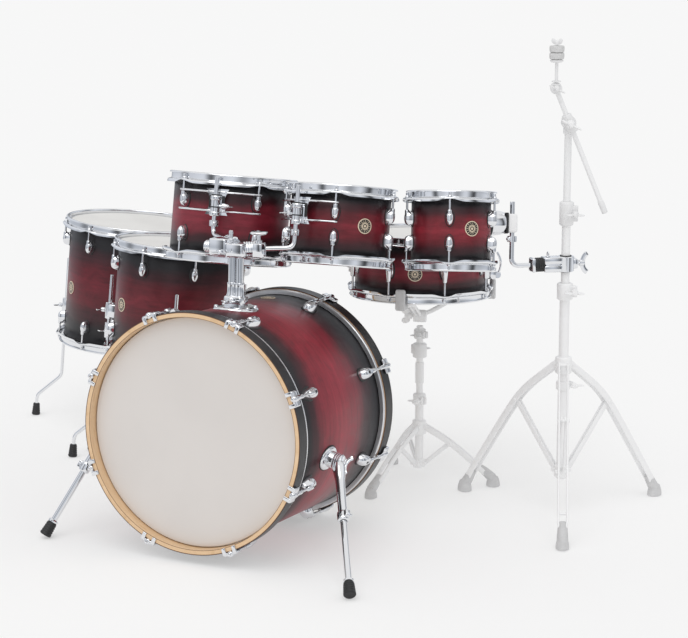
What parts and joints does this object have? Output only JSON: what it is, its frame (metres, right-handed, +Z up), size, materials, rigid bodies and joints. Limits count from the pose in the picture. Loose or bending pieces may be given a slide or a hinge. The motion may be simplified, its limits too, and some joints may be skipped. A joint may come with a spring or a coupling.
{
  "type": "drum kit",
  "caption": "Shell pack in satin cherry burst: bass drum, rack toms on a holder and a boom stand, floor toms on legs, and a snare on its stand",
  "frame": {"origin": "on the floor, under the middle of the kit's box", "axes": "+X to the kit's left as the drummer sits, from the floor toms to the boom stand; +Y towards the drummer, away from the bass drum's front head; +Z up"},
  "size_m": [2.0378, 1.4388, 1.2299],
  "materials": {
    "cherry_lacquer": "satin lacquer over maple, near black at both edges of each shell",
    "chrome": "polished chrome plate",
    "maple": "clear satin over maple with a black outer band",
    "front_film": "warm off-white film",
    "coated_film": "rough white coated film",
    "pale_steel": null,
    "spring_steel": "bare wound wire"
  },
  "bodies": {
    "kit": {"bass_shell": "cherry_lacquer", "bass_front_hoop": "maple", "bass_batter_hoop": "maple", "bass_front_head": "front_film", "bass_batter_head": "coated_film", "tom_holder_base": "chrome", "floor14_shell": "cherry_lacquer", "floor14_top_hoop": "chrome", "floor14_batter_head": "coated_film", "floor14_bottom_hoop": "chrome", "floor16_shell": "cherry_lacquer", "floor16_top_hoop": "chrome", "floor16_batter_head": "coated_film", "floor16_bottom_hoop": "chrome", "snare_stand_base": "pale_steel", "boom_stand_base": "pale_steel"},
    "spur_left_tube": {"spur_left_tube": "chrome"},
    "spur_left_leg": {"spur_left_leg": "chrome"},
    "spur_right_tube": {"spur_right_tube": "chrome"},
    "spur_right_leg": {"spur_right_leg": "chrome"},
    "tom_holder": {"tom_holder_posts": "chrome", "tom_holder_clamp": "chrome"},
    "tom8_l_rod": {"tom8_l_rod": "chrome"},
    "tom8": {"tom8_shell": "cherry_lacquer", "tom8_top_hoop": "chrome", "tom8_batter_head": "coated_film", "tom8_bottom_hoop": "chrome"},
    "tom10_l_rod": {"tom10_l_rod": "chrome"},
    "tom10": {"tom10_shell": "cherry_lacquer", "tom10_top_hoop": "chrome", "tom10_batter_head": "coated_film", "tom10_bottom_hoop": "chrome", "tom10_suspension_mount": "chrome"},
    "tom12_l_rod": {"tom12_l_rod": "chrome"},
    "tom12": {"tom12_shell": "cherry_lacquer", "tom12_top_hoop": "chrome", "tom12_batter_head": "coated_film", "tom12_bottom_hoop": "chrome", "tom12_suspension_mount": "chrome"},
    "boom_stand_middle_tube": {"boom_stand_middle_tube": "pale_steel"},
    "boom_stand_upper_tube": {"boom_stand_upper_tube": "pale_steel"},
    "boom_clamp": {"boom_clamp": "pale_steel"},
    "boom_rod": {"boom_rod": "pale_steel"},
    "cymbal_tilter": {"cymbal_tilter": "pale_steel"},
    "tom_clamp": {"tom_clamp": "chrome"},
    "snare_stand_tube": {"snare_stand_tube": "pale_steel"},
    "snare": {"snare_basket": "pale_steel", "snare_shell": "cherry_lacquer", "snare_top_hoop": "chrome", "snare_batter_head": "coated_film", "snare_bottom_hoop": "chrome", "snare_snare_side_head": "coated_film", "snare_wires": "spring_steel"},
    "snare_throw_off_lever": {"snare_throw_off_lever": "chrome"},
    "floor14_leg_1": {"floor14_leg_1": "chrome"},
    "floor14_leg_2": {"floor14_leg_2": "chrome"},
    "floor14_leg_3": {"floor14_leg_3": "chrome"},
    "floor16_leg_1": {"floor16_leg_1": "chrome"},
    "floor16_leg_2": {"floor16_leg_2": "chrome"},
    "floor16_leg_3": {"floor16_leg_3": "chrome"}
  },
  "joints": [
    {"name": "spur_left_fold", "type": "hinge", "parent": "kit", "child": "spur_left_tube", "pos_m": [0.44464, -0.4321, 0.24687], "axis": [0.9744, -0.0104, -0.2247], "range_deg": [-20, 60]},
    {"name": "spur_left_extend", "type": "slide", "parent": "spur_left_tube", "child": "spur_left_leg", "axis": [0.415, -0.7019, -0.5789], "range_m": [-0.06, 0.04]},
    {"name": "spur_right_fold", "type": "hinge", "parent": "kit", "child": "spur_right_tube", "pos_m": [-0.10632, -0.46507, 0.2918], "axis": [-0.9976, -0.0032, -0.0697], "range_deg": [-60, 20]},
    {"name": "spur_right_extend", "type": "slide", "parent": "spur_right_tube", "child": "spur_right_leg", "axis": [-0.3562, -0.4368, -0.826], "range_m": [-0.06, 0.04]},
    {"name": "tom_holder_height", "type": "slide", "parent": "kit", "child": "tom_holder", "axis": [0, 0.0461, 0.9989], "range_m": [-0.018, 0.02]},
    {"name": "tom12_tilt", "type": "hinge", "parent": "tom_holder", "child": "tom12_l_rod", "pos_m": [0.1724, -0.38409, 0.74544], "axis": [-0.7789, 0.6272, 0], "range_deg": [-8, 8]},
    {"name": "tom12_swivel", "type": "hinge", "parent": "tom12_l_rod", "child": "tom12", "pos_m": [0.05431, -0.2631, 0.89623], "axis": [0.017, 0.1559, 0.9876], "range_deg": [-5, 5]},
    {"name": "tom10_tilt", "type": "hinge", "parent": "tom_holder", "child": "tom10_l_rod", "pos_m": [0.1724, -0.38478, 0.73046], "axis": [0.799, 0.6013, 0], "range_deg": [-8, 8]},
    {"name": "tom10_swivel", "type": "hinge", "parent": "tom10_l_rod", "child": "tom10", "pos_m": [0.2856, -0.26808, 0.89135], "axis": [-0.01, 0.1849, 0.9827], "range_deg": [-5, 5]},
    {"name": "tom8_tilt", "type": "hinge", "parent": "tom_clamp", "child": "tom8_l_rod", "pos_m": [0.8294, 0.16, 0.661], "axis": [-0.7663, -0.6424, 0], "range_deg": [-8, 8]},
    {"name": "tom8_swivel", "type": "hinge", "parent": "tom8_l_rod", "child": "tom8", "pos_m": [0.70679, 0.09659, 0.84212], "axis": [-0.061, 0.163, 0.9847], "range_deg": [-8, 8]},
    {"name": "boom_stand_middle_height", "type": "slide", "parent": "kit", "child": "boom_stand_middle_tube", "axis": [0, 0, 1], "range_m": [0, 0.12]},
    {"name": "boom_stand_upper_height", "type": "slide", "parent": "boom_stand_middle_tube", "child": "boom_stand_upper_tube", "axis": [0, 0, 1], "range_m": [-0.05, 0.1]},
    {"name": "boom_tilt", "type": "hinge", "parent": "boom_stand_upper_tube", "child": "boom_clamp", "pos_m": [0.8294, 0.16, 1.022], "axis": [0.434, -0.9009, 0], "range_deg": [-25, 25]},
    {"name": "boom_reach", "type": "slide", "parent": "boom_clamp", "child": "boom_rod", "axis": [-0.3449, -0.166, 0.9238], "range_m": [-0.02, 0.1]},
    {"name": "cymbal_tilt", "type": "hinge", "parent": "boom_rod", "child": "cymbal_tilter", "pos_m": [0.8093, 0.11704, 1.11069], "axis": [0.434, -0.9009, 0], "range_deg": [-30, 30]},
    {"name": "tom_clamp_height", "type": "slide", "parent": "boom_stand_middle_tube", "child": "tom_clamp", "axis": [0, 0, 1], "range_m": [0, 0.055]},
    {"name": "floor14_leg_1_height", "type": "slide", "parent": "kit", "child": "floor14_leg_1", "axis": [0.06, 0.081, 0.9949], "range_m": [-0.05, 0.05]},
    {"name": "floor14_leg_2_height", "type": "slide", "parent": "kit", "child": "floor14_leg_2", "axis": [0.06, 0.081, 0.9949], "range_m": [-0.05, 0.05]},
    {"name": "floor14_leg_3_height", "type": "slide", "parent": "kit", "child": "floor14_leg_3", "axis": [0.06, 0.081, 0.9949], "range_m": [-0.05, 0.05]},
    {"name": "floor16_leg_1_height", "type": "slide", "parent": "kit", "child": "floor16_leg_1", "axis": [0.072, 0.051, 0.9961], "range_m": [-0.05, 0.05]},
    {"name": "floor16_leg_2_height", "type": "slide", "parent": "kit", "child": "floor16_leg_2", "axis": [0.072, 0.051, 0.9961], "range_m": [-0.05, 0.05]},
    {"name": "floor16_leg_3_height", "type": "slide", "parent": "kit", "child": "floor16_leg_3", "axis": [0.072, 0.051, 0.9961], "range_m": [-0.05, 0.05]},
    {"name": "snare_stand_height", "type": "slide", "parent": "kit", "child": "snare_stand_tube", "axis": [0, 0, 1], "range_m": [-0.02, 0.06]},
    {"name": "snare_basket_tilt", "type": "hinge", "parent": "snare_stand_tube", "child": "snare", "pos_m": [0.37965, 0.26355, 0.467], "axis": [-0.9549, -0.2971, 0], "range_deg": [-8, 8]},
    {"name": "snare_throw_off", "type": "hinge", "parent": "snare", "child": "snare_throw_off_lever", "pos_m": [0.57286, 0.34161, 0.58258], "axis": [-0.3499, 0.9356, -0.0471], "range_deg": [0, 80]}
  ]
}
